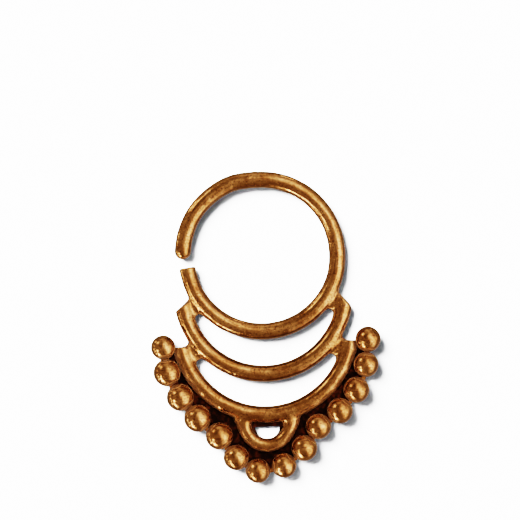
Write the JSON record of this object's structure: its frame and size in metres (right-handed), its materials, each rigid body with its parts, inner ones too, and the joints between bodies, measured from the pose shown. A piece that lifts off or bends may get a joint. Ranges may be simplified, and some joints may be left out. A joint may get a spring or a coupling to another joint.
{
  "type": "nose ring",
  "caption": "Open septum ring with nested hanging crescents, a small keel loop and a fringe of round beads on a backing plate.",
  "frame": {"origin": "under the middle of the bounding box, on the plane of the backing plate's flat back", "axes": "+Z out of the front face, +Y from the beads to the top of the hoop, +X to the right as seen from the front"},
  "size_m": [0.0168, 0.0228, 0.002],
  "materials": {
    "aged_brass": "polished antiqued brass, warm copper-brown, with darker patina in the corners",
    "blackened_brass": "oxidised near-black sheet, matt, between the lower crescent and the beads"
  },
  "bodies": {
    "root": {"nose_ring": "aged_brass"}
  },
  "joints": []
}
